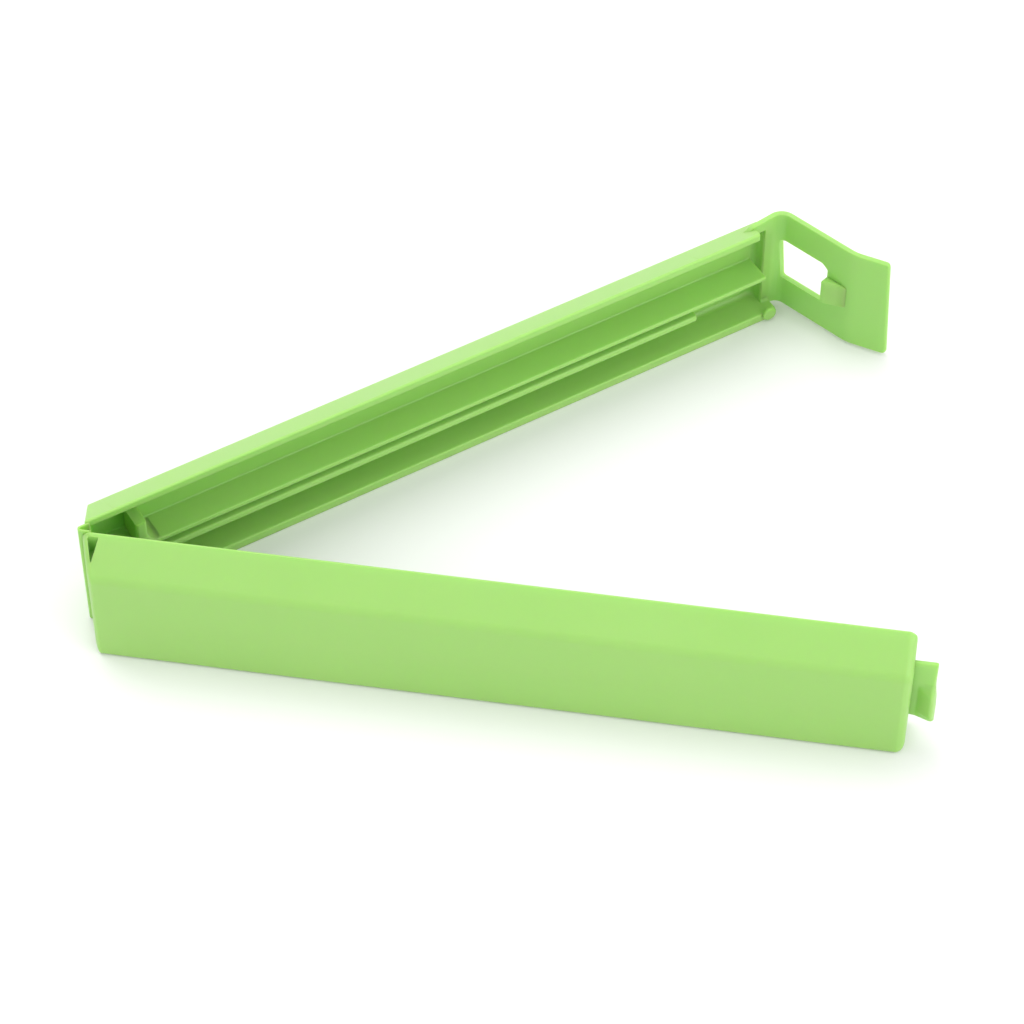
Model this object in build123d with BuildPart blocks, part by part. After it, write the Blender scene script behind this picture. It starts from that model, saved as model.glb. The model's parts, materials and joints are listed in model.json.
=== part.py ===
from build123d import *
import math
import os

os.makedirs("parts", exist_ok=True)

# A one-hand sealing clip for bags: two channel-shaped jaws joined by a thin hinge film,
# closed by a sprung latch on the rear jaw that hooks over a tongue on the front jaw.
# Frame: millimetres, +Z up along the hinge axis, z = 0 on the lower long edges. The front jaw
# runs along +X with its mouth towards +Y. The rear jaw is drawn closed against it, with its
# mouth towards -Y, then swung open about Z. In the sections, depth is the distance from the
# plane between the closed jaws, and height is z.

# Overall dimensions
FRONT_REACH = 105.2
REAR_REACH = 106.3
JAW_HEIGHT = 17.4
REST_OPENING = 40.0

# Jaw section
MOUTH_INSET = 0.45
CREASE_DEPTH = 5.85
CREASE_HEIGHT = 14.2
# Fall of the upper facet for each millimetre away from the mouth
TOP_SLOPE = (JAW_HEIGHT - CREASE_HEIGHT) / (CREASE_DEPTH - MOUTH_INSET)
KNEE_DEPTH = 5.95
KNEE_HEIGHT = 6.0
FOOT_DEPTH = 6.25
WALL = 1.1
RIM = 1.25
FLOOR = 1.4
END_WALL = 1.2
COVE = 0.7

# Hinge end
FRONT_BEVEL_START = 0.05
FRONT_BEVEL_SLOPE = 0.33
REAR_BEVEL_START = 0.45
REAR_BEVEL_SLOPE = 0.52
HINGE_WALL = 0.6
POCKET_FLOOR = 12.0
POCKET_WALL = 0.63
POCKET_REACH = 2.55
POCKET_LIP = 1.1
POCKET_DEEP = 3.9
FRONT_CAVITY_START = 3.4
FILM_RADIUS = 0.45
FILM_THICKNESS = 0.3
FILM_TOP_MARGIN = 0.3
FILM_REACH = 1.5

# Ribs and blade
MAIN_RIB_LOW = 7.75
MAIN_RIB_HIGH = 8.55
FINE_RIB_LOW = 5.6
FINE_RIB_HIGH = 6.75
FINE_RIB_END = 93.0
RIB_START = 5.0
TOP_WALL_END = 102.9
MAIN_RIB_END = 104.2
FLOOR_RELIEF = 0.2
BLADE_START = 6.0
BLADE_END = 102.0
BLADE_TIP_DEPTH = -1.05
BLADE_TIP = 0.4
BLADE_ROOT = 1.0
POST_START = 7.6
POST_LENGTH = 1.5
POST_FLARE = 1.8
POST_TOP = 12.6
BEAD_RADIUS = 1.05
BEAD_CENTRE = 105.0
BEAD_HEIGHT = 1.3
BEAD_TIP_DEPTH = -0.1

# Catch tongue
TONGUE_INNER = 2.4
TONGUE_OUTER = 3.2
TONGUE_LOW = 4.4
TONGUE_HIGH = 14.35
TONGUE_REACH = 108.1
TONGUE_TOE_REACH = 108.4
BARB_OUTER = 4.4
BARB_LOW = 5.0
BARB_HIGH = 10.2

# Latch
STRAP = 0.8
STRAP_DEPTH = 3.15
STRAP_LOW = 0.4
STRAP_HIGH = 17.0
ROOT_TOP = 16.45
LATCH_PIVOT = 106.7
LATCH_BEND = 1.85
BEND_LEAD = 0.15
LATCH_SPLAY = 16.5
PIVOT_GAP = 0.05
PLATE_LENGTH = 10.4
TAB_FLARE = 18.0
TAB_LENGTH = 4.4
TAB_BEND = 6.0
WINDOW_START = 0.85
WINDOW_END = 8.9
WINDOW_LOW = 5.2
WINDOW_HIGH = 12.2
TOOTH_LOW = 6.4
TOOTH_HIGH = 10.5
TOOTH_RISE = 1.3
TOOTH_LENGTH = 3.6

FRONT = -1
REAR = 1


def outer_outline(side):
    return [
        (side * MOUTH_INSET, JAW_HEIGHT),
        (side * CREASE_DEPTH, CREASE_HEIGHT),
        (side * KNEE_DEPTH, KNEE_HEIGHT),
        (side * FOOT_DEPTH, 0),
        (side * MOUTH_INSET, 0),
    ]


def inner_outline(side, past_mouth):
    top = JAW_HEIGHT - RIM
    mouth = MOUTH_INSET - past_mouth
    corner = CREASE_DEPTH - WALL
    return [
        (side * mouth, top + TOP_SLOPE * past_mouth),
        (side * corner, top - TOP_SLOPE * (corner - MOUTH_INSET)),
        (side * (KNEE_DEPTH - WALL), KNEE_HEIGHT),
        (side * (FOOT_DEPTH - WALL), FLOOR),
        (side * mouth, FLOOR),
    ]


def cove_edges(piece):
    # The inner edges where the back wall meets the floor
    return piece.edges().filter_by(Axis.X).filter_by(
        lambda e: abs(abs(e.center().Y) - (FOOT_DEPTH - WALL)) < 0.01
    )


def back_depth(height):
    # Depth of the back wall's inner face above the knee
    knee = KNEE_DEPTH - WALL
    corner_depth, corner_height = inner_outline(REAR, 0)[1]
    share = (height - KNEE_HEIGHT) / (corner_height - KNEE_HEIGHT)
    return knee + (corner_depth - knee) * share


def section_at(reach):
    return Plane.YZ.offset(reach)


def swung_open(closed_shape):
    with BuildPart() as opened:
        add(closed_shape, rotation=(0, 0, REST_OPENING))
    return opened


def save(piece, name):
    piece.part.label = name
    export_step(piece.part, "parts/" + name + ".step")


def bevel_reach(start, slope, depth):
    return start + slope * depth


def jaw_shell(side, reach, bevel_start, bevel_slope, cavity_start, cavity_end):
    with BuildPart() as shell:
        with BuildSketch(section_at(0)):
            with BuildLine():
                Polyline(*outer_outline(side), close=True)
            make_face()
        extrude(amount=reach)
        # Bevelled hinge end
        with BuildSketch(Plane.XY.offset(-1)):
            with BuildLine():
                Polyline(
                    (-5, side * -1),
                    (bevel_reach(bevel_start, bevel_slope, -1), side * -1),
                    (bevel_reach(bevel_start, bevel_slope, 8), side * 8),
                    (-5, side * 8),
                    close=True,
                )
            make_face()
        extrude(amount=JAW_HEIGHT + 2, mode=Mode.SUBTRACT)
        # Long outer edges, softened
        long_edges = shell.edges().filter_by(Axis.X)
        crease = long_edges.filter_by(
            lambda e: abs(e.center().Z - CREASE_HEIGHT) < 0.01
        )
        foot = long_edges.filter_by(
            lambda e: e.center().Z < 0.01 and abs(e.center().Y) > FOOT_DEPTH - 0.01
        )
        fillet(crease, radius=1.6)
        fillet(foot, radius=0.6)
        # Rounded latch end
        end_face = shell.faces().sort_by(Axis.X)[-1]
        end_edges = end_face.edges().filter_by(
            lambda e: abs(e.center().Y) > MOUTH_INSET + 0.01
        )
        fillet(end_edges, radius=1.15)
        # Channel open at the mouth
        with BuildSketch(section_at(cavity_start)):
            with BuildLine():
                Polyline(*inner_outline(side, 2), close=True)
            make_face()
        extrude(amount=cavity_end - cavity_start, mode=Mode.SUBTRACT)
        fillet(cove_edges(shell), radius=COVE)
    return shell


def front_jaw_shell():
    shell_draft = jaw_shell(
        FRONT, FRONT_REACH, FRONT_BEVEL_START, FRONT_BEVEL_SLOPE,
        FRONT_CAVITY_START, FRONT_REACH - END_WALL,
    )
    with BuildPart() as shell:
        add(shell_draft.part)
        # Three-cornered pocket behind the bevelled end wall
        near = FRONT_BEVEL_START + POCKET_WALL
        with BuildSketch(Plane.XY.offset(POCKET_FLOOR)):
            with BuildLine():
                Polyline(
                    (bevel_reach(near, FRONT_BEVEL_SLOPE, POCKET_LIP), -POCKET_LIP),
                    (POCKET_REACH, -POCKET_LIP),
                    (POCKET_REACH - 0.45, -POCKET_DEEP),
                    (bevel_reach(near, FRONT_BEVEL_SLOPE, POCKET_DEEP), -POCKET_DEEP),
                    close=True,
                )
            make_face()
        extrude(amount=JAW_HEIGHT, mode=Mode.SUBTRACT)
    return shell


def rear_jaw_shell():
    shell_draft = jaw_shell(
        REAR, REAR_REACH, REAR_BEVEL_START, REAR_BEVEL_SLOPE,
        -1, REAR_REACH + 1,
    )
    with BuildPart() as shell:
        add(shell_draft.part)
        # The roof and the mouth end stop short, so that the latch strap can rise through them
        with BuildSketch(Plane.XY.offset(FLOOR)):
            with Locations((TOP_WALL_END + 5, MOUTH_INSET)):
                Rectangle(10, 2 * (STRAP_DEPTH + STRAP / 2 - MOUTH_INSET))
        extrude(amount=JAW_HEIGHT, mode=Mode.SUBTRACT)
        with BuildSketch(Plane.XY.offset(-1)):
            with Locations((REAR_REACH - FLOOR_RELIEF + 5, MOUTH_INSET)):
                Rectangle(10, 2 * (STRAP_DEPTH + STRAP - MOUTH_INSET))
        extrude(amount=FLOOR + 1.1, mode=Mode.SUBTRACT)
    return shell


def rear_hinge_wall():
    # Closes the channel inside, parallel to the bevelled end
    low = MOUTH_INSET - 1
    high = FOOT_DEPTH
    near = REAR_BEVEL_START
    far = REAR_BEVEL_START + HINGE_WALL
    with BuildPart() as wall:
        add(channel_fill(REAR, 0, 8).part)
        with BuildSketch(Plane.XY):
            with BuildLine():
                Polyline(
                    (bevel_reach(near, REAR_BEVEL_SLOPE, low), low),
                    (bevel_reach(near, REAR_BEVEL_SLOPE, high), high),
                    (bevel_reach(far, REAR_BEVEL_SLOPE, high), high),
                    (bevel_reach(far, REAR_BEVEL_SLOPE, low), low),
                    close=True,
                )
            make_face()
        extrude(amount=JAW_HEIGHT + 1, mode=Mode.INTERSECT)
    return wall


def channel_fill(side, start, end):
    # The whole inside of a channel between two reaches
    with BuildPart() as fill:
        with BuildSketch(section_at(start)):
            with BuildLine():
                Polyline(*inner_outline(side, 0), close=True)
            make_face()
        extrude(amount=end - start)
        fillet(cove_edges(fill), radius=COVE)
    return fill


def rib(start, end, low, high):
    with BuildPart() as bar:
        add(channel_fill(REAR, start, end).part)
        with BuildSketch(Plane.XY.offset(low)):
            with Locations(((start + end) / 2, 0)):
                Rectangle(end - start, 20)
        extrude(amount=high - low, mode=Mode.INTERSECT)
        tip = bar.edges().filter_by(Axis.X).group_by(Axis.Y)[0]
        fillet(tip, radius=(high - low) * 0.3)
    return bar


def seal_blade():
    # Tapered blade along the front jaw, which presses the bag in between the rear ribs
    middle = (FINE_RIB_HIGH + MAIN_RIB_LOW) / 2
    low = middle - BLADE_ROOT / 2
    high = middle + BLADE_ROOT / 2
    with BuildPart() as blade:
        with BuildSketch(section_at(BLADE_START)):
            with BuildLine():
                Polyline(
                    (-back_depth(low), low),
                    (-BLADE_TIP_DEPTH, middle - BLADE_TIP / 2),
                    (-BLADE_TIP_DEPTH, middle + BLADE_TIP / 2),
                    (-back_depth(high), high),
                    close=True,
                )
            make_face()
        extrude(amount=BLADE_END - BLADE_START)
        tip_corners = blade.edges().filter_by(Axis.Z).group_by(Axis.Y)[-1]
        fillet(tip_corners, radius=2.0)
    return blade


def catch_tongue():
    # Plate standing out of the front jaw's latch end, with a longer toe and a raised barb
    root = FRONT_REACH
    with BuildPart() as tongue:
        with BuildSketch(Plane.XZ.offset(TONGUE_INNER)):
            with BuildLine():
                Polyline(
                    (root, TONGUE_LOW),
                    (TONGUE_TOE_REACH, TONGUE_LOW - 0.6),
                    (TONGUE_TOE_REACH, 8.2),
                    (TONGUE_REACH - 0.15, 9.9),
                    (TONGUE_REACH, TONGUE_HIGH),
                    (root, TONGUE_HIGH),
                    close=True,
                )
            make_face()
        extrude(amount=TONGUE_OUTER - TONGUE_INNER)
        corners = tongue.edges().filter_by(Axis.Y).group_by(Axis.X)[-1]
        fillet(corners, radius=0.35)
    return tongue


def tongue_barb():
    # Wedge on the tongue's outer face: a ramp for the latch tooth, steepest at the free end
    with BuildPart() as barb:
        with BuildSketch(Plane.XY.offset(BARB_LOW)):
            with BuildLine():
                Polyline(
                    (FRONT_REACH + 0.9, -TONGUE_OUTER),
                    (TONGUE_REACH - 0.8, -BARB_OUTER),
                    (TONGUE_REACH - 0.2, -BARB_OUTER),
                    (TONGUE_REACH, -TONGUE_OUTER),
                    close=True,
                )
            make_face()
        extrude(amount=BARB_HIGH - BARB_LOW)
    return barb


def hinge_film():
    # Round-edged film on the hinge axis, with its front leaf laid against the front rim
    with BuildPart() as film:
        with BuildSketch(Plane.XY):
            Circle(FILM_RADIUS)
            with BuildLine():
                Polyline(
                    (0, -MOUTH_INSET + FILM_THICKNESS),
                    (FILM_REACH, -MOUTH_INSET + FILM_THICKNESS),
                    (FILM_REACH, -MOUTH_INSET),
                    (0, -MOUTH_INSET),
                    close=True,
                )
            make_face()
        extrude(amount=JAW_HEIGHT - FILM_TOP_MARGIN)
    return film


def rear_hinge_leaf():
    start = FILM_RADIUS + 0.12
    with BuildPart() as leaf:
        with BuildSketch(Plane.XY):
            with Locations(((start + FILM_REACH) / 2, MOUTH_INSET - FILM_THICKNESS / 2)):
                Rectangle(FILM_REACH - start, FILM_THICKNESS)
        extrude(amount=JAW_HEIGHT - FILM_TOP_MARGIN)
    return leaf


def hinge_post():
    # Stop post across the upper channel near the hinge, flared along the main rib
    back = KNEE_DEPTH - WALL - 0.35
    foot = MAIN_RIB_HIGH
    end = POST_START + POST_LENGTH
    with BuildPart() as post:
        with BuildSketch(Plane.XZ.offset(-back)):
            with BuildLine():
                Line((POST_START, foot), (POST_START, POST_TOP))
                Line((POST_START, POST_TOP), (end, POST_TOP))
                Line((end, POST_TOP), (end, foot + POST_FLARE))
                RadiusArc((end, foot + POST_FLARE), (end + POST_FLARE, foot), -POST_FLARE)
                Line((end + POST_FLARE, foot), (POST_START, foot))
            make_face()
        extrude(amount=back - MOUTH_INSET)
        front_edges = post.faces().sort_by(Axis.Y)[0].edges()
        upright = front_edges.filter_by(Axis.Z)
        fillet(upright, radius=0.4)
    return post


def corner_bead():
    with BuildPart() as bead:
        with BuildSketch(Plane.XZ.offset(-MOUTH_INSET)):
            with Locations((BEAD_CENTRE, BEAD_HEIGHT)):
                Circle(BEAD_RADIUS)
        extrude(amount=MOUTH_INSET - BEAD_TIP_DEPTH)
        fillet(bead.faces().sort_by(Axis.Y)[0].edges(), radius=0.25)
    return bead


def rear_end_block():
    # Closes the deep half of the rear channel at the latch end
    inner = STRAP_DEPTH + STRAP / 2
    with BuildPart() as block:
        add(channel_fill(REAR, REAR_REACH - END_WALL, REAR_REACH - 0.2).part)
        with BuildSketch(Plane.XY.offset(-1)):
            with Locations((REAR_REACH, inner + 5)):
                Rectangle(10, 10)
        extrude(amount=JAW_HEIGHT + 2, mode=Mode.INTERSECT)
    return block


def latch_root():
    # Straight root of the latch strap, standing on the rear jaw's floor and rising through its
    # roof, up to the flexing line. Above the roof it starts at the roof's end.
    end = LATCH_PIVOT - 0.25
    strap_back = STRAP_DEPTH + STRAP / 2
    roof_under = inner_outline(REAR, 0)[0][1] - TOP_SLOPE * (strap_back - MOUTH_INSET)
    with BuildPart() as root:
        with BuildSketch(Plane.XZ.offset(-STRAP_DEPTH)):
            with BuildLine():
                Polyline(
                    (MAIN_RIB_END, FLOOR),
                    (REAR_REACH, FLOOR),
                    (REAR_REACH, STRAP_LOW),
                    (end, STRAP_LOW),
                    (end, STRAP_HIGH),
                    (TOP_WALL_END, ROOT_TOP),
                    (TOP_WALL_END, roof_under),
                    (MAIN_RIB_END, roof_under),
                    close=True,
                )
            make_face()
        extrude(amount=STRAP / 2, both=True)
        with BuildSketch(Plane.XY):
            with Locations((LATCH_PIVOT, STRAP_DEPTH)):
                Circle(STRAP / 2 + PIVOT_GAP)
        extrude(amount=JAW_HEIGHT, mode=Mode.SUBTRACT)
    return root


def splay_direction(extra=0):
    angle = math.radians(LATCH_SPLAY + extra)
    return (math.sin(angle), -math.cos(angle))


def moved(point, direction, distance):
    return (point[0] + direction[0] * distance, point[1] + direction[1] * distance)


def bend_exit(entry, radius, start_angle, end_angle):
    # End point of an arc that turns clockwise between two headings, in degrees
    first = math.radians(start_angle + 90)
    last = math.radians(end_angle + 90)
    centre = (entry[0] - radius * math.cos(first), entry[1] - radius * math.sin(first))
    return (centre[0] + radius * math.cos(last), centre[1] + radius * math.sin(last))


def strap_points():
    # Plan of the strap's centre line: pivot, bend start, bend end, plate end
    pivot = (LATCH_PIVOT, STRAP_DEPTH)
    bend_start = (LATCH_PIVOT + BEND_LEAD, STRAP_DEPTH)
    bend_end = bend_exit(bend_start, LATCH_BEND, 0, LATCH_SPLAY - 90)
    plate_end = moved(bend_end, splay_direction(), PLATE_LENGTH)
    return pivot, bend_start, bend_end, plate_end


def plate_plane():
    # Sketch plane on the plate's outer face: x along the plate from its corner, y upwards
    along = splay_direction()
    tangent = (LATCH_BEND + STRAP / 2) * math.tan(math.radians(90 - LATCH_SPLAY) / 2)
    corner = (LATCH_PIVOT + BEND_LEAD + tangent, STRAP_DEPTH + STRAP / 2)
    return Plane(
        origin=(corner[0], corner[1], 0),
        x_dir=(along[0], along[1], 0),
        z_dir=(along[1], -along[0], 0),
    )


def latch_strap():
    pivot, bend_start, bend_end, plate_end = strap_points()
    with BuildPart() as strap:
        with BuildSketch(Plane.XY.offset(STRAP_LOW)):
            with BuildLine():
                Line(pivot, bend_start)
                RadiusArc(bend_start, bend_end, LATCH_BEND)
                Line(bend_end, plate_end)
                offset(amount=STRAP / 2, side=Side.BOTH)
            make_face()
            # Square end where the thumb tab carries on
            heading = LATCH_SPLAY - 90
            with Locations(Location(moved(plate_end, splay_direction(), 1), heading)):
                Rectangle(2, 2, mode=Mode.SUBTRACT)
        extrude(amount=STRAP_HIGH - STRAP_LOW)
        with BuildSketch(plate_plane()):
            with Locations(((WINDOW_START + WINDOW_END) / 2, (WINDOW_LOW + WINDOW_HIGH) / 2)):
                Rectangle(WINDOW_END - WINDOW_START, WINDOW_HIGH - WINDOW_LOW)
        extrude(amount=3, both=True, mode=Mode.SUBTRACT)
        jambs = strap.edges().filter_by(
            lambda e: abs(e.length - STRAP) < 0.01
            and WINDOW_LOW - 0.01 < e.center().Z < WINDOW_HIGH + 0.01
        )
        fillet(jambs, radius=0.5)
    return strap


def latch_tooth():
    # Wedge on the plate's inner face: square latching face at the window, ramp beyond it
    with BuildPart() as tooth:
        face = plate_plane().offset(STRAP)
        plan = Plane(origin=face.origin, x_dir=face.x_dir, z_dir=(0, 0, 1))
        with BuildSketch(plan.offset(TOOTH_LOW)):
            with BuildLine():
                Polyline(
                    (WINDOW_END, 0),
                    (WINDOW_END, -TOOTH_RISE),
                    (WINDOW_END + 0.7, -TOOTH_RISE),
                    (WINDOW_END + TOOTH_LENGTH, 0),
                    close=True,
                )
            make_face()
        extrude(amount=TOOTH_HIGH - TOOTH_LOW)
    return tooth


def thumb_tab():
    plate_end = strap_points()[3]
    heading = LATCH_SPLAY - 90
    # The tab curls away from the jaws, so its bend turns the other way
    first = math.radians(heading - 90)
    last = math.radians(heading + TAB_FLARE - 90)
    centre = (
        plate_end[0] - TAB_BEND * math.cos(first),
        plate_end[1] - TAB_BEND * math.sin(first),
    )
    flare_end = (
        centre[0] + TAB_BEND * math.cos(last),
        centre[1] + TAB_BEND * math.sin(last),
    )
    tab_end = moved(flare_end, splay_direction(TAB_FLARE), TAB_LENGTH)
    with BuildPart() as tab:
        with BuildSketch(Plane.XY.offset(STRAP_LOW)):
            with BuildLine():
                RadiusArc(plate_end, flare_end, -TAB_BEND)
                Line(flare_end, tab_end)
                offset(amount=STRAP / 2, side=Side.BOTH)
            make_face()
            with Locations(Location(moved(plate_end, splay_direction(), -1), heading)):
                Rectangle(2, 2, mode=Mode.SUBTRACT)
        extrude(amount=STRAP_HIGH - STRAP_LOW)
    return tab


def save_front():
    save(front_jaw_shell(), "front_shell")
    save(seal_blade(), "seal_blade")
    save(catch_tongue(), "catch_tongue")
    save(tongue_barb(), "tongue_barb")
    save(hinge_film(), "hinge_film")


def save_rear():
    main_rib = rib(RIB_START, MAIN_RIB_END, MAIN_RIB_LOW, MAIN_RIB_HIGH)
    fine_rib = rib(RIB_START, FINE_RIB_END, FINE_RIB_LOW, FINE_RIB_HIGH)
    save(swung_open(rear_jaw_shell().part), "rear_shell")
    save(swung_open(rear_hinge_wall().part), "rear_hinge_wall")
    save(swung_open(rear_hinge_leaf().part), "rear_hinge_leaf")
    save(swung_open(main_rib.part), "main_rib")
    save(swung_open(fine_rib.part), "fine_rib")
    save(swung_open(hinge_post().part), "hinge_post")
    save(swung_open(corner_bead().part), "corner_bead")
    save(swung_open(rear_end_block().part), "rear_end_block")
    save(swung_open(latch_root().part), "latch_root")


def save_latch():
    save(swung_open(latch_strap().part), "latch_strap")
    save(swung_open(latch_tooth().part), "latch_tooth")
    save(swung_open(thumb_tab().part), "thumb_tab")


save_front()
save_rear()
save_latch()
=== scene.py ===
import json
import math

import bmesh
import bpy
import numpy as np
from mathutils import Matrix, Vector


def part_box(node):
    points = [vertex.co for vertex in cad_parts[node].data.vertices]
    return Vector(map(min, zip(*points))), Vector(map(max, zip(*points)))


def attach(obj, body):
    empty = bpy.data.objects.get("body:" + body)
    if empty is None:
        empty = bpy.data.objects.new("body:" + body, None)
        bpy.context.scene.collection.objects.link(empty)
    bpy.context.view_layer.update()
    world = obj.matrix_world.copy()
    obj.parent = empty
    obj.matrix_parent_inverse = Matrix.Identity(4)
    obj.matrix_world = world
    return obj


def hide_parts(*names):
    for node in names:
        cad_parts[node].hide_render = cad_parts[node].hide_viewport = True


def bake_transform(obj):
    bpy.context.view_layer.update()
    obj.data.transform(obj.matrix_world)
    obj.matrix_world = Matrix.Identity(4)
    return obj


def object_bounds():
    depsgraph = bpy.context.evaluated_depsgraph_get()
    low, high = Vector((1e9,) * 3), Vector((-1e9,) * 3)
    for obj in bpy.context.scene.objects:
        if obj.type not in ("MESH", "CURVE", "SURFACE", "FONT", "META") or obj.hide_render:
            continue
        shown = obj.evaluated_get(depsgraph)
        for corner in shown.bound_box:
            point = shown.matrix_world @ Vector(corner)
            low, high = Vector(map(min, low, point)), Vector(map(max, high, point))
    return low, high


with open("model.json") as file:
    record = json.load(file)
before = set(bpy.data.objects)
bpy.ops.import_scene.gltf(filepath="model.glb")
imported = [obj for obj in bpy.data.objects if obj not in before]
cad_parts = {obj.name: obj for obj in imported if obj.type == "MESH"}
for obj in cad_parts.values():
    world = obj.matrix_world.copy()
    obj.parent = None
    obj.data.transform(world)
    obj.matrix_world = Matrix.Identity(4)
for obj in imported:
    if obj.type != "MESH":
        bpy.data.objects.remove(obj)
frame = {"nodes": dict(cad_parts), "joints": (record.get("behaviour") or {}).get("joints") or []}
cad_low, cad_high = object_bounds()

# Lengths in this script are millimetres of the row frame until a mesh is made.
# reach: along a jaw from the hinge axis. depth: away from the plane between the closed jaws.
MM = 0.001

joints = {j["name"]: j for j in frame["joints"]}
OPENING = math.radians(-joints["main_hinge"]["range_deg"][0])


def rear_frame(point):
    # Reach and depth in the rear jaw of a row-frame point
    x, y = point[0] / MM, point[1] / MM
    reach = x * math.cos(OPENING) + y * math.sin(OPENING)
    depth = -x * math.sin(OPENING) + y * math.cos(OPENING)
    return reach, depth


def rear_extent(node):
    # Lowest and highest reach and depth of a CAD node on the rear jaw
    spots = [rear_frame(v.co) for v in frame["nodes"][node].data.vertices]
    reaches = [s[0] for s in spots]
    depths = [s[1] for s in spots]
    return min(reaches), max(reaches), min(depths), max(depths)


# Sizes read from the frame
FRONT_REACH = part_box("front_shell")[1].x / MM
JAW_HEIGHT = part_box("front_shell")[1].z / MM
FOOT_DEPTH = -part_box("front_shell")[0].y / MM
MOUTH = -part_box("front_shell")[1].y / MM
REAR_REACH = rear_extent("rear_shell")[1]
RIB_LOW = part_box("main_rib")[0].z / MM
RIB_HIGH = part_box("main_rib")[1].z / MM
RIB_START = rear_extent("main_rib")[0]
RIB_END = rear_extent("main_rib")[1]
FINE_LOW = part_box("fine_rib")[0].z / MM
FINE_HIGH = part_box("fine_rib")[1].z / MM
FINE_END = rear_extent("fine_rib")[1]
BLADE_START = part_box("seal_blade")[0].x / MM
BLADE_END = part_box("seal_blade")[1].x / MM
BLADE_TIP = -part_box("seal_blade")[1].y / MM
BLADE_MIDDLE = (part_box("seal_blade")[0].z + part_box("seal_blade")[1].z) / 2 / MM
STRAP_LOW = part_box("latch_strap")[0].z / MM
STRAP_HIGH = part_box("latch_strap")[1].z / MM
FILM_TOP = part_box("hinge_film")[1].z / MM
BLOCK_START = rear_extent("rear_end_block")[0]
ROOT_LOW_START = max(RIB_END, BLOCK_START) + 0.15

# Section of both jaws
CREASE = (5.85, 14.2)
KNEE = (5.95, 6.0)
WALL = 1.1
RIM = 1.25
FLOOR = 1.4
END_WALL = 1.2
END_ROUND = 1.15
FRONT_HINGE_ROUND = 1.3
REAR_HINGE_ROUND = 0.4
ARC_STEPS = 5
# Length over which a wall profile turns upright
THIN = 0.02
# Slanting hinge end of a jaw: reach at the mouth plane, further reach per depth, and how far
# along the jaw the slant dies away
FRONT_SLANT = (0.05, 0.33, 3.2)
REAR_SLANT = (0.45, 0.52, 4.8)
BODY_RINGS = 44
BODY_END_GAP = 1.3

# Three-cornered pocket in the front jaw's roof
POCKET_NEAR = 0.68
POCKET_FAR = 2.55
POCKET_LIP = 1.1
POCKET_DEEP = 3.9
POCKET_TAPER = 0.45
POCKET_FLOOR = 14.2

# The roof ends in a curve, from its tip at the mouth to the latch strap
ROOF_TIP = 102.5
ROOF_END = 103.35

# Latch strap
STRAP = 0.8
STRAP_DEPTH = 3.15
PIVOT_REACH = rear_frame(Vector(joints["latch_flex"]["pos_m"]))[0]
BEND_LEAD = 0.15
BEND_RADIUS = 1.85
SPLAY = math.radians(16.5)
PLATE_LENGTH = 10.4
TAB_ARC = 6.0
TAB_TURN = math.radians(18.0)
TAB_LENGTH = 4.1
TAB_CORNER = 0.7
WINDOW = (0.85, 8.9, 5.2, 12.2)
WINDOW_LEAN = 0.25
ROOT_TOP = 16.45
# Height inside the roof's thickness where the part of the root above the roof starts
ROOT_HIDDEN = 14.9
# Lean of the tab's free edge per millimetre of height, about this height
EDGE_LEAN = 0.045
LEAN_HEIGHT = 8.7


def place_front(reach, depth, height):
    return Vector((reach * MM, -depth * MM, height * MM))


def place_rear(reach, depth, height):
    x = reach * math.cos(OPENING) - depth * math.sin(OPENING)
    y = reach * math.sin(OPENING) + depth * math.cos(OPENING)
    return Vector((x * MM, y * MM, height * MM))


def rounded(corners, radii, steps=ARC_STEPS):
    # Closed outline with every corner replaced by a circular arc of steps + 1 points
    outline = []
    count = len(corners)
    for i, corner in enumerate(corners):
        p = Vector(corner)
        before = Vector(corners[i - 1]) - p
        after = Vector(corners[(i + 1) % count]) - p
        room = 0.48 * min(before.length, after.length)
        if room < 1e-6:
            outline += [p.copy() for _ in range(steps + 1)]
            continue
        half = before.angle(after) / 2
        cut = min(radii[i] / max(math.tan(half), 1e-6), room)
        first = p + before.normalized() * cut
        last = p + after.normalized() * cut
        weight = math.sin(half)
        for k in range(steps + 1):
            t = k / steps
            a, b, c = (1 - t) ** 2, 2 * weight * t * (1 - t), t * t
            outline.append((first * a + p * b + last * c) / (a + b + c))
    return outline


def shifted(p, q, distance):
    # The line through p and q moved to its left by distance, as point and direction
    direction = (Vector(q) - Vector(p)).normalized()
    left = Vector((-direction.y, direction.x))
    return Vector(p) + left * distance, direction


def crossing(one, other):
    # Where two lines, each a point and a direction, meet
    (p, d), (q, e) = one, other
    det = d.x * e.y - d.y * e.x
    t = ((q.x - p.x) * e.y - (q.y - p.y) * e.x) / det
    return p + d * t


def step_up(x, at, rise, foot_round, top_round):
    # A wall profile: 0 before at, rise after it, with a rounded foot and a rounded top
    if x <= at - foot_round:
        return 0.0
    if x <= at:
        k = x - (at - foot_round)
        return min(foot_round - math.sqrt(max(foot_round**2 - k * k, 0)), rise)
    if x <= at + THIN:
        share = (x - at) / THIN
        low = min(foot_round, rise)
        high = max(rise - top_round, low)
        return low + (high - low) * share
    if x < at + THIN + top_round:
        k = top_round - (x - at - THIN)
        return max(rise - top_round + math.sqrt(max(top_round**2 - k * k, 0)), 0)
    return rise


def step_stations(at, foot_round, top_round, sign=1):
    # Where rings are needed to follow step_up
    marks = [at - sign * foot_round * (1 - k) for k in (0, 0.35, 0.65, 0.87, 1)]
    marks += [at + sign * (THIN + top_round * k) for k in (0, 0.04, 0.16, 0.38, 0.68, 1)]
    return marks


def end_inset(x, end, radius):
    # Inward offset of a rounded end at position x
    k = max(0.0, x - (end - radius))
    return radius - math.sqrt(max(radius**2 - k * k, 0))


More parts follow.
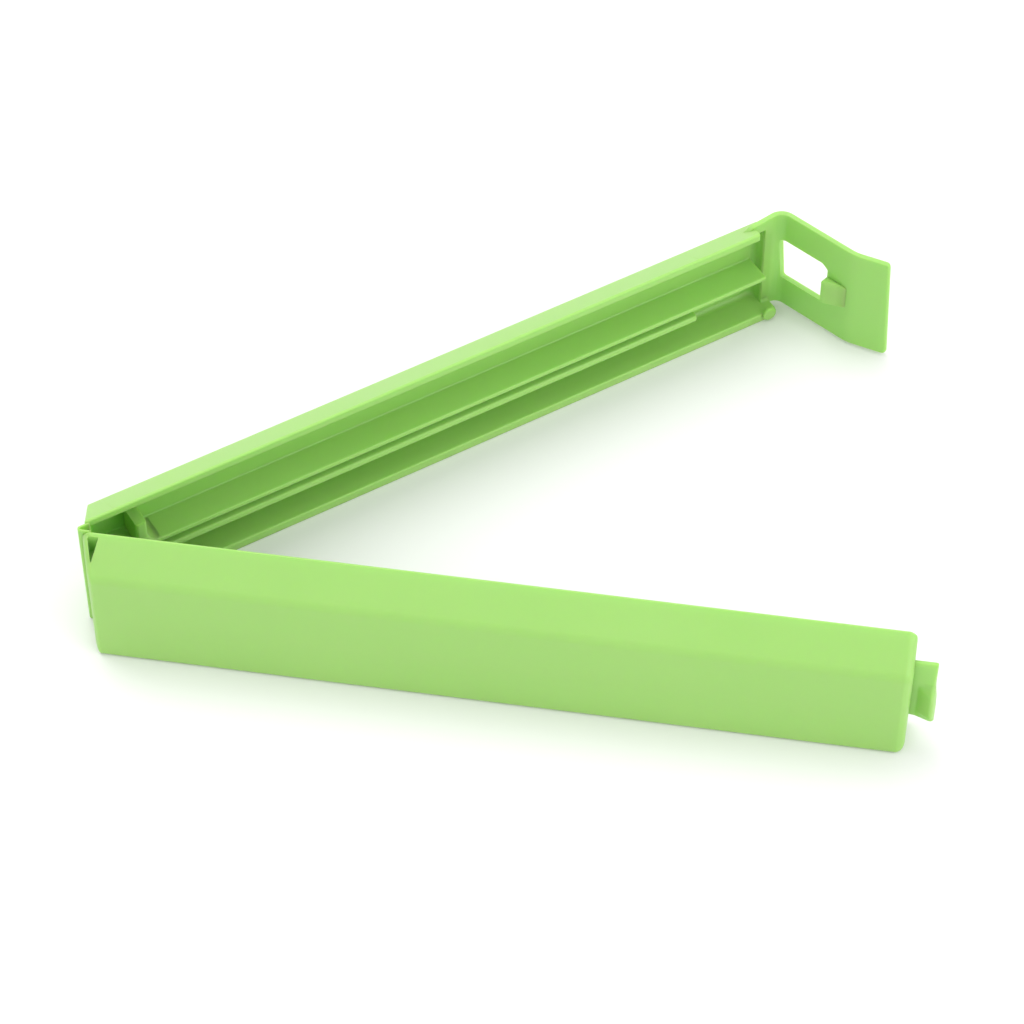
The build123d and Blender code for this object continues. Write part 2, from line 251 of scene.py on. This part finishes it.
def end_stations(end, radius, sign=1):
    return [end - sign * radius * (1 - math.sin(math.pi / 2 * k / 6)) for k in range(7)]


def finish_mesh(name, bm):
    bmesh.ops.remove_doubles(bm, verts=bm.verts, dist=2e-7)
    bmesh.ops.dissolve_degenerate(bm, edges=bm.edges, dist=1e-7)
    bmesh.ops.recalc_face_normals(bm, faces=bm.faces)
    mesh = bpy.data.meshes.new(name)
    bm.to_mesh(mesh)
    bm.free()
    for face in mesh.polygons:
        face.use_smooth = True
    obj = bpy.data.objects.new(name, mesh)
    bpy.context.scene.collection.objects.link(obj)
    return obj


def loft(name, rings):
    # Skin over closed rings of equal point count, with flat ends
    bm = bmesh.new()
    grid = [[bm.verts.new(p) for p in ring] for ring in rings]
    count = len(grid[0])
    for one, two in zip(grid, grid[1:]):
        for k in range(count):
            m = (k + 1) % count
            bm.faces.new((one[k], one[m], two[m], two[k]))
    bm.faces.new(list(reversed(grid[0])))
    bm.faces.new(grid[-1])
    return finish_mesh(name, bm)


def prism(name, outline, low, high):
    # Upright prism over row-frame plan points
    rings = []
    for z in (low, high):
        rings.append([Vector((p[0], p[1], z * MM)) for p in outline])
    return loft(name, rings)


def cut(obj, cutter):
    # Takes the cutter out of the piece, and removes the cutter
    modifier = obj.modifiers.new("cut", "BOOLEAN")
    modifier.operation = "DIFFERENCE"
    modifier.solver = "EXACT"
    modifier.object = cutter
    graph = bpy.context.evaluated_depsgraph_get()
    made = bpy.data.meshes.new_from_object(obj.evaluated_get(graph))
    obj.modifiers.clear()
    old = obj.data
    obj.data = made
    made.name = obj.name
    bpy.data.meshes.remove(old)
    old = cutter.data
    bpy.data.objects.remove(cutter)
    bpy.data.meshes.remove(old)
    for face in obj.data.polygons:
        face.use_smooth = True


def soften(obj, width, angle=38, segments=3, weld=False):
    # Small rounds on what is still sharp, and normals that keep the flats flat
    if weld:
        modifier = obj.modifiers.new("weld", "WELD")
        modifier.merge_threshold = 1e-6
    if width:
        modifier = obj.modifiers.new("rounds", "BEVEL")
        modifier.limit_method = "ANGLE"
        modifier.angle_limit = math.radians(angle)
        modifier.width = width * MM
        modifier.segments = segments
        modifier.use_clamp_overlap = True
        modifier.miter_outer = "MITER_ARC"
        modifier.harden_normals = False
    modifier = obj.modifiers.new("flats", "WEIGHTED_NORMAL")
    modifier.mode = "FACE_AREA_WITH_ANGLE"
    modifier.weight = 60
    modifier.keep_sharp = True


# The jaws

def section(reach, inset, rim_inset, top_mouth, cavity, ribs):
    # Closed C outline of a jaw. cavity: how deep the channel is here below the mouth.
    # ribs: (low, high, tip depth, root round) from the floor up, standing on the back wall
    a, b = (MOUTH, JAW_HEIGHT), CREASE
    c, d, e = KNEE, (FOOT_DEPTH, 0), (MOUTH, 0)
    top = shifted(a, b, -inset)
    upper = shifted(b, c, -inset)
    lower = shifted(c, d, -inset)
    base = shifted(d, e, -inset)
    bottom_mouth = (Vector((MOUTH + rim_inset, 0)), Vector((0, 1)))
    upper_mouth = (Vector((top_mouth + rim_inset, 0)), Vector((0, 1)))
    slope = (JAW_HEIGHT - CREASE[1]) / (CREASE[0] - MOUTH)
    inner_top = JAW_HEIGHT - RIM
    deep = MOUTH + cavity
    corners = [
        crossing(top, upper_mouth),
        crossing(top, upper),
        crossing(upper, lower),
        crossing(lower, base),
        crossing(base, bottom_mouth),
        Vector((MOUTH + rim_inset, FLOOR)),
        Vector((min(FOOT_DEPTH - WALL, deep), FLOOR)),
    ]
    radii = [0.25, max(1.6 - inset, 0.3), 3.0, max(0.6 - inset * 0.4, 0.2), 0.25, 0.25, 0.7]
    back_low = FOOT_DEPTH - WALL
    back_knee = KNEE[0] - WALL
    corner_height = inner_top - slope * (CREASE[0] - WALL - MOUTH)

    def back(height):
        if height < KNEE[1]:
            share = (height - FLOOR) / (KNEE[1] - FLOOR)
            return back_low + (back_knee - back_low) * share
        share = (height - KNEE[1]) / (corner_height - KNEE[1])
        return back_knee + (CREASE[0] - WALL - back_knee) * share

    for low, high, tip, tip_half, root_round in ribs:
        middle = (low + high) / 2
        wall_low = min(back(low), deep)
        wall_high = min(back(high), deep)
        tip_here = min(tip, wall_low, wall_high)
        corners += [
            Vector((wall_low, low)),
            Vector((tip_here, middle - tip_half)),
            Vector((tip_here, middle + tip_half)),
            Vector((wall_high, high)),
        ]
        radii += [root_round, tip_half * 0.7, tip_half * 0.7, root_round]
    corners += [
        Vector((min(CREASE[0] - WALL, deep), corner_height)),
        Vector((top_mouth + rim_inset, inner_top - slope * (top_mouth + rim_inset - MOUTH))),
    ]
    radii += [2.4, 0.25]
    return rounded(corners, radii)


def jaw_rings(place, marks, reach_end, hinge_round, slant, shape):
    # One ring at every mark, rounded at both ends and slanting at the hinge end
    start, slope, skew_length = slant
    rings = []
    for s in marks:
        inset = max(end_inset(s, reach_end, END_ROUND), end_inset(-s, 0, hinge_round))
        rim_inset = max(end_inset(s, reach_end, 0.25), end_inset(-s, 0, 0.2))
        skew = max(0.0, 1 - s / skew_length)
        ring = []
        for p in shape(s, inset, rim_inset):
            reach = s + (start + slope * p.x) * skew
            ring.append(place(reach, p.x, p.y))
        rings.append(ring)
    return rings


def spread(*groups):
    # All marks in order, without those that nearly coincide
    marks = sorted(m for group in groups for m in group)
    kept = [marks[0]]
    for m in marks[1:]:
        if m - kept[-1] > 0.004:
            kept.append(m)
    return kept


def front_moulding():
    cavity_start = 3.4
    cavity_end = FRONT_REACH - END_WALL
    full = FOOT_DEPTH - WALL - MOUTH + 0.05
    back = KNEE[0] - WALL
    rise = back - BLADE_TIP

    def shape(s, inset, rim_inset):
        cavity = min(
            step_up(s, cavity_start, full, 0.2, 0.5),
            step_up(-s, -cavity_end, full, 0.2, 0.5),
        )
        blade = min(
            step_up(s, BLADE_START, rise, 0.2, 2.0),
            step_up(-s, -BLADE_END, rise, 0.2, 2.0),
        )
        ribs = [(BLADE_MIDDLE - 0.5, BLADE_MIDDLE + 0.5, back - blade, 0.2, 0.35)]
        return section(s, inset, rim_inset, MOUTH, cavity, ribs)

    marks = spread(
        end_stations(0, FRONT_HINGE_ROUND, -1),
        end_stations(0, 0.2, -1),
        np.linspace(1.35, FRONT_REACH - BODY_END_GAP, BODY_RINGS).tolist(),
        step_stations(cavity_start, 0.2, 0.5),
        step_stations(cavity_end, 0.2, 0.5, -1),
        step_stations(BLADE_START, 0.2, 2.0),
        step_stations(BLADE_END, 0.2, 2.0, -1),
        end_stations(FRONT_REACH, END_ROUND),
    )
    rings = jaw_rings(place_front, marks, FRONT_REACH, FRONT_HINGE_ROUND, FRONT_SLANT, shape)
    obj = loft("front_jaw_moulding", rings)
    # Three-cornered pocket behind the slanting end
    plan = [
        (POCKET_NEAR + FRONT_SLANT[1] * POCKET_LIP, POCKET_LIP),
        (POCKET_FAR, POCKET_LIP),
        (POCKET_FAR - POCKET_TAPER, POCKET_DEEP),
        (POCKET_NEAR + FRONT_SLANT[1] * POCKET_DEEP, POCKET_DEEP),
    ]
    outline = rounded(plan, [0.15] * 4, 3)
    spots = [place_front(p.x, p.y, 0) for p in outline]
    cutter = prism("pocket", spots, POCKET_FLOOR, JAW_HEIGHT + 2)
    cut(obj, cutter)
    soften(obj, 0.08, angle=50, segments=2)
    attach(obj, "front_jaw")
    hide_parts("front_shell", "seal_blade")
    return obj


def rear_moulding():
    wall_end = 0.6
    full = FOOT_DEPTH - WALL - MOUTH + 0.05
    back = KNEE[0] - WALL
    strap_back = STRAP_DEPTH + STRAP / 2
    # The closed end stands just behind the face of the strap's root, which is let into it
    block_rise = STRAP_DEPTH - STRAP / 2 + 0.03 - MOUTH

    def shape(s, inset, rim_inset):
        cavity = step_up(s, wall_end, full, 0.15, 0.4)
        end_cavity = step_up(-s, -BLOCK_START, full - block_rise, 0.35, 1.2)
        cavity = min(cavity, block_rise + end_cavity)
        rise = back - MOUTH
        main = min(
            step_up(s, RIB_START, rise, 0.15, 0.3),
            step_up(-s, -RIB_END, rise, 0.1, 0.1),
        )
        fine = min(
            step_up(s, RIB_START, rise, 0.15, 0.3),
            step_up(-s, -FINE_END, rise, 0.15, 0.3),
        )
        ribs = [
            (FINE_LOW, FINE_HIGH, back - fine, (FINE_HIGH - FINE_LOW) / 2 * 0.85, 0.25),
            (RIB_LOW, RIB_HIGH, back - main, (RIB_HIGH - RIB_LOW) / 2 * 0.9, 0.25),
        ]
        share = min(1.0, max(0.0, (s - ROOF_TIP) / (ROOF_END - ROOF_TIP)))
        top_mouth = MOUTH + (strap_back - MOUTH) * (1 - math.sqrt(1 - share * share))
        return section(s, inset, rim_inset, top_mouth, cavity, ribs)

    marks = spread(
        end_stations(0, REAR_HINGE_ROUND, -1),
        np.linspace(0.95, REAR_REACH - BODY_END_GAP, BODY_RINGS).tolist(),
        step_stations(wall_end, 0.15, 0.4),
        step_stations(RIB_START, 0.15, 0.3),
        step_stations(FINE_END, 0.15, 0.3, -1),
        step_stations(RIB_END, 0.1, 0.1, -1),
        [ROOF_TIP + (ROOF_END - ROOF_TIP) * math.sin(math.pi / 2 * k / 8) for k in range(9)],
        step_stations(BLOCK_START, 0.35, 1.2, -1),
        end_stations(REAR_REACH, END_ROUND),
    )
    rings = jaw_rings(place_rear, marks, REAR_REACH, REAR_HINGE_ROUND, REAR_SLANT, shape)
    obj = loft("rear_jaw_moulding", rings)
    soften(obj, 0.06, angle=50, segments=2)
    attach(obj, "rear_jaw")
    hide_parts("rear_shell", "rear_hinge_wall", "main_rib", "fine_rib", "rear_end_block")
    return obj


def hinge_film():
    # Thin web round the hinge axis, with a leaf on each jaw's mouth face
    half = 0.15
    radius = 0.3
    leaf = 1.3
    centre = []
    for k in range(8):
        centre.append((leaf * (1 - k / 8), -radius, (0, -1)))
    turn = math.pi - OPENING
    for k in range(13):
        angle = -math.pi / 2 - turn * k / 12
        out = (math.cos(angle), math.sin(angle))
        centre.append((radius * out[0], radius * out[1], out))
    side = (-math.sin(OPENING), math.cos(OPENING))
    along = (math.cos(OPENING), math.sin(OPENING))
    for k in range(1, 9):
        d = leaf * k / 8
        centre.append((radius * side[0] + d * along[0], radius * side[1] + d * along[1], side))
    low, high = 0.0, FILM_TOP
    rings = []
    for x, y, out in centre:
        ring = []
        corners = [(-half, low), (half, low), (half, high), (-half, high)]
        for offset, z in rounded(corners, [0.1] * 4, 3):
            plan = ((x + out[0] * offset) * MM, (y + out[1] * offset) * MM)
            ring.append(Vector((plan[0], plan[1], z * MM)))
        rings.append(ring)
    obj = loft("hinge_film_web", rings)
    soften(obj, 0.0)
    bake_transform(obj)
    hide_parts("hinge_film", "rear_hinge_leaf")
    return obj


def strap_line():
    # Centre line of the latch strip: points with heading, from its root to the tab's tip
    line = []
    pivot = PIVOT_REACH + BEND_LEAD
    steps = [ROOF_END - 1.5 + 0.25 * k for k in range(7)]
    steps += [ROOT_LOW_START - 0.01, ROOT_LOW_START + 0.01]
    first = ROOT_LOW_START + 0.3
    steps += [first + (REAR_REACH - 0.2 - first) * k / 4 for k in range(5)]
    steps += [REAR_REACH - 0.18, REAR_REACH + 0.1, PIVOT_REACH - 0.05]
    for reach in steps:
        line.append((reach, STRAP_DEPTH, 0.0))
    turn = math.pi / 2 - SPLAY
    for k in range(17):
        angle = turn * k / 16
        reach = pivot + BEND_RADIUS * math.sin(angle)
        depth = STRAP_DEPTH - BEND_RADIUS * (1 - math.cos(angle))
        line.append((reach, depth, -angle))
    reach, depth, heading = line[-1]
    direction = (math.cos(heading), math.sin(heading))
    for k in range(1, 15):
        d = PLATE_LENGTH * k / 14
        line.append((reach + direction[0] * d, depth + direction[1] * d, heading))
    reach, depth, heading = line[-1]
    centre = (reach - TAB_ARC * math.sin(heading), depth + TAB_ARC * math.cos(heading))
    for k in range(1, 9):
        angle = heading + TAB_TURN * k / 8
        reach = centre[0] + TAB_ARC * math.sin(angle)
        depth = centre[1] - TAB_ARC * math.cos(angle)
        line.append((reach, depth, angle))
    reach, depth, heading = line[-1]
    direction = (math.cos(heading), math.sin(heading))
    length = TAB_LENGTH - 0.05
    distances = [length * k / 6 for k in range(1, 6)]
    distances += [length - 0.4, length - 0.2, length - 0.08, length]
    for d in distances:
        line.append((reach + direction[0] * d, depth + direction[1] * d, heading))
    reach, depth, heading = line[-1]
    for k in range(1, 6):
        d = STRAP / 2 * math.sin(math.pi / 2 * k / 5.4)
        line.append((reach + direction[0] * d, depth + direction[1] * d, heading))
    return line


def latch_strip():
    line = strap_line()
    tip = line[-6]
    rings = []
    for k, (reach, depth, heading) in enumerate(line):
        low, high = STRAP_LOW, STRAP_HIGH
        if heading == 0.0:
            # The root: it rises through the roof, and stands on the floor
            if reach < ROOT_LOW_START:
                low = ROOT_HIDDEN
            elif reach < REAR_REACH - 0.19:
                low = FLOOR - 0.1
            share = (reach - ROOF_END) / (PIVOT_REACH - ROOF_END)
            ramp = ROOT_TOP + (STRAP_HIGH - ROOT_TOP) * share
            sink = max(0.0, ROOF_END - reach)
            high = min(STRAP_HIGH, ramp - 0.4 * sink)
        half = STRAP / 2
        past = math.hypot(reach - tip[0], depth - tip[1])
        ahead = STRAP / 2 + past
        if k >= len(line) - 5:
            half = math.sqrt(max(half**2 - past**2, 0.0004))
            ahead = STRAP / 2 - past
        if ahead < TAB_CORNER:
            trim = TAB_CORNER - math.sqrt(TAB_CORNER**2 - (TAB_CORNER - ahead) ** 2)
            low, high = low + trim, high - trim
        outline = rounded(
            [(-half, low), (half, low), (half, high), (-half, high)], [0.18] * 4, 3
        )
        normal = (-math.sin(heading), math.cos(heading))
        onward = (math.cos(heading), math.sin(heading))
        ring = []
        for p in outline:
            # The lean grows along the tab to its free edge
            share = 1.0 if k >= len(line) - 5 else max(0.0, 1 - past / TAB_LENGTH)
            lean = -EDGE_LEAN * (p.y - LEAN_HEIGHT) * share
            along = reach + normal[0] * p.x + onward[0] * lean
            across = depth + normal[1] * p.x + onward[1] * lean
            ring.append(place_rear(along, across, p.y))
        rings.append(ring)
    obj = loft("latch_strip", rings)
    # The window, cut square through the plate, with a leaning side next to the bend
    along = (math.sin(SPLAY), -math.cos(SPLAY))
    outward = (math.cos(SPLAY), math.sin(SPLAY))
    tangent = (BEND_RADIUS + STRAP / 2) * math.tan((math.pi / 2 - SPLAY) / 2)
    corner = (PIVOT_REACH + BEND_LEAD + tangent, STRAP_DEPTH + STRAP / 2)
    start, end, low, high = WINDOW
    corners = [
        (start + WINDOW_LEAN, low),
        (end, low),
        (end, high - 0.7),
        (end - 0.9, high),
        (start - WINDOW_LEAN, high),
    ]
    outline = rounded(corners, [0.5, 0.3, 0.4, 0.8, 0.35], 6)
    rings = []
    for across in (-3.0, 2.0):
        rings.append([
            place_rear(
                corner[0] + along[0] * p.x + outward[0] * across,
                corner[1] + along[1] * p.x + outward[1] * across,
                p.y,
            )
            for p in outline
        ])
    cut(obj, loft("window", rings))
    soften(obj, 0.14, angle=50, segments=3)
    start = place_rear(PIVOT_REACH - 0.45, STRAP_DEPTH, 0)
    end = place_rear(PIVOT_REACH + 1.5, STRAP_DEPTH - 0.9, 0)
    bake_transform(obj)
    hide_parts("latch_root", "latch_strap", "thumb_tab")
    return obj


def catch_tongue():
    # Plate out of the front jaw's end. Its lower part thickens outwards into a ramp, and its
    # lower corner reaches furthest.
    low_box, high_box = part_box("catch_tongue")
    root = FRONT_REACH - 0.3
    inner, outer = -high_box.y / MM, -low_box.y / MM
    crest = -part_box("tongue_barb")[0].y / MM
    barb_low, barb_high = (v.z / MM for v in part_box("tongue_barb"))
    toe = high_box.x / MM
    top = high_box.z / MM
    heights = [k / 27 for k in range(28)]

    def edge(z):
        # Free edge: a shallow notch above the toe
        notch = math.exp(-(((z - 10.6) / 1.6) ** 2))
        share = min(1.0, max(0.0, (z - 8.0) / 3.0))
        return toe - 0.28 * share - 0.1 * notch

    rings = []
    count = 24
    for k in range(count + 1):
        t = k / count
        tip = max(0.0, t - 0.9) / 0.1
        close = 0.16 * (1 - math.sqrt(max(1 - tip * tip, 0)))
        back, front = [], []
        for h in heights:
            low = 4.4 - 0.6 * t
            z = low + (top - low) * h
            reach = root + (edge(z) - root) * t
            up = min(1.0, max(0.0, (barb_high + 0.3 - z) / 0.9))
            down = min(1.0, max(0.0, (z - barb_low + 0.35) / 0.8))
            zone = up * up * (3 - 2 * up) * (0.35 + 0.65 * down * down * (3 - 2 * down))
            ramp = min(1.0, max(0.0, (reach - root - 1.1) / 1.7))
            fall = min(1.0, max(0.0, (edge(z) + 0.1 - reach) / 0.5))
            rise = (crest - outer) * zone * ramp * math.sqrt(fall)
            pinch = 0.16 * max(0.0, abs(h - 0.5) - 0.47) / 0.03
            back.append(place_front(reach, inner + close + pinch, z))
            front.append(place_front(reach, outer + rise - close - pinch, z))
        rings.append(back + list(reversed(front)))
    obj = loft("catch_tongue_moulding", rings)
    soften(obj, 0.06, angle=50, segments=2)
    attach(obj, "front_jaw")
    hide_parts("catch_tongue", "tongue_barb")
    return obj


# Materials

def plastic(name, colour):
    material = bpy.data.materials.new(name)
    material.use_nodes = True
    nodes, links = material.node_tree.nodes, material.node_tree.links
    shader = nodes["Principled BSDF"]
    place = nodes.new("ShaderNodeTexCoord")
    # Broad cloudiness of the colour and the polish
    cloud = nodes.new("ShaderNodeTexNoise")
    cloud.inputs["Scale"].default_value = 45.0
    cloud.inputs["Detail"].default_value = 3.0
    links.new(place.outputs["Object"], cloud.inputs["Vector"])
    # Fine polish grain
    grain = nodes.new("ShaderNodeTexNoise")
    grain.inputs["Scale"].default_value = 2600.0
    grain.inputs["Detail"].default_value = 4.0
    grain.inputs["Roughness"].default_value = 0.6
    links.new(place.outputs["Object"], grain.inputs["Vector"])
    tint = nodes.new("ShaderNodeMix")
    tint.data_type = "RGBA"
    tint.inputs["A"].default_value = (colour[0] * 0.93, colour[1] * 0.97, colour[2] * 0.9, 1)
    tint.inputs["B"].default_value = (colour[0] * 1.05, colour[1] * 1.02, colour[2] * 1.08, 1)
    links.new(cloud.outputs["Fac"], tint.inputs["Factor"])
    # Edges rubbed slightly paler
    edge = nodes.new("ShaderNodeAmbientOcclusion")
    edge.inside = True
    edge.samples = 6
    edge.inputs["Distance"].default_value = 0.0007
    worn = nodes.new("ShaderNodeMapRange")
    worn.inputs["From Min"].default_value = 0.35
    worn.inputs["From Max"].default_value = 0.75
    worn.inputs["To Min"].default_value = 0.0
    worn.inputs["To Max"].default_value = 0.25
    links.new(edge.outputs["AO"], worn.inputs["Value"])
    pale = nodes.new("ShaderNodeMix")
    pale.data_type = "RGBA"
    pale.inputs["B"].default_value = (colour[0] * 1.5, colour[1] * 1.15, colour[2] * 1.9, 1)
    links.new(worn.outputs["Result"], pale.inputs["Factor"])
    links.new(tint.outputs["Result"], pale.inputs["A"])
    links.new(pale.outputs["Result"], shader.inputs["Base Color"])
    rough = nodes.new("ShaderNodeMapRange")
    rough.inputs["From Min"].default_value = 0.3
    rough.inputs["From Max"].default_value = 0.7
    rough.inputs["To Min"].default_value = 0.36
    rough.inputs["To Max"].default_value = 0.46
    links.new(cloud.outputs["Fac"], rough.inputs["Value"])
    links.new(rough.outputs["Result"], shader.inputs["Roughness"])
    bump = nodes.new("ShaderNodeBump")
    bump.inputs["Strength"].default_value = 0.12
    bump.inputs["Distance"].default_value = 0.00002
    links.new(grain.outputs["Fac"], bump.inputs["Height"])
    links.new(bump.outputs["Normal"], shader.inputs["Normal"])
    shader.inputs["IOR"].default_value = 1.49
    shader.inputs["Subsurface Weight"].default_value = 0.55
    shader.inputs["Subsurface Radius"].default_value = (0.6, 1.0, 0.3)
    shader.inputs["Subsurface Scale"].default_value = 0.002
    return material


def paint(obj, material):
    obj.data.materials.clear()
    obj.data.materials.append(material)


green = plastic("lime_polypropylene", (0.292, 0.57, 0.118))
for piece in (front_moulding(), rear_moulding(), hinge_film(), latch_strip(), catch_tongue()):
    paint(piece, green)
for node, edge_round in (("hinge_post", 0.12), ("corner_bead", 0.12), ("latch_tooth", 0.32)):
    obj = frame["nodes"][node]
    soften(obj, edge_round, angle=40, segments=3, weld=True)
    for face in obj.data.polygons:
        face.use_smooth = True
    paint(obj, green)


# Stage

def area_light(name, location, target, size, power, colour=(1, 1, 1)):
    data = bpy.data.lights.new(name, "AREA")
    data.shape = "RECTANGLE"
    data.size, data.size_y = size
    data.energy = power
    data.color = colour
    obj = bpy.data.objects.new(name, data)
    obj.location = location
    obj.rotation_euler = (Vector(target) - Vector(location)).to_track_quat("-Z", "Y").to_euler()
    bpy.context.scene.collection.objects.link(obj)
    return obj


def make_floor():
    bm = bmesh.new()
    for x, y in ((-3, -3), (3, -3), (3, 3), (-3, 3)):
        bm.verts.new((x, y, cad_low.z - 0.00002))
    bm.faces.new(bm.verts)
    floor = finish_mesh("floor", bm)
    material = bpy.data.materials.new("floor_white")
    material.use_nodes = True
    nodes, links = material.node_tree.nodes, material.node_tree.links
    shader = nodes["Principled BSDF"]
    noise = nodes.new("ShaderNodeTexNoise")
    noise.inputs["Scale"].default_value = 6.0
    tone = nodes.new("ShaderNodeMix")
    tone.data_type = "RGBA"
    tone.inputs["A"].default_value = (0.86, 0.86, 0.86, 1)
    tone.inputs["B"].default_value = (0.9, 0.9, 0.9, 1)
    links.new(noise.outputs["Fac"], tone.inputs["Factor"])
    links.new(tone.outputs["Result"], shader.inputs["Base Color"])
    shader.inputs["Roughness"].default_value = 0.7
    floor.data.materials.append(material)
    return floor


bpy.context.scene.view_settings.view_transform = "Standard"
make_floor()
world = bpy.data.worlds.new("studio")
bpy.context.scene.world = world
world.use_nodes = True
world.node_tree.nodes["Background"].inputs["Color"].default_value = (1.0, 1.0, 1.0, 1)
world.node_tree.nodes["Background"].inputs["Strength"].default_value = 1.0
middle = (cad_low + cad_high) / 2
area_light("key", middle + Vector((-0.3, 0.3, 0.85)), middle, (0.7, 0.7), 3.4)
area_light("fill", middle + Vector((0.8, -0.25, 0.5)), middle, (0.8, 0.5), 2.6)

camera_data = bpy.data.cameras.new("camera")
camera_data.lens = 120.6
camera_data.sensor_width = 36.0
camera_data.clip_start = 0.01
camera = bpy.data.objects.new("camera", camera_data)
bpy.context.scene.collection.objects.link(camera)
camera.location = (0.0986, -0.2740, 0.3387)
aim = Vector((0.05343, 0.00854, 0.02011))
camera.rotation_euler = (aim - camera.location).to_track_quat("-Z", "Y").to_euler()
bpy.context.scene.camera = camera
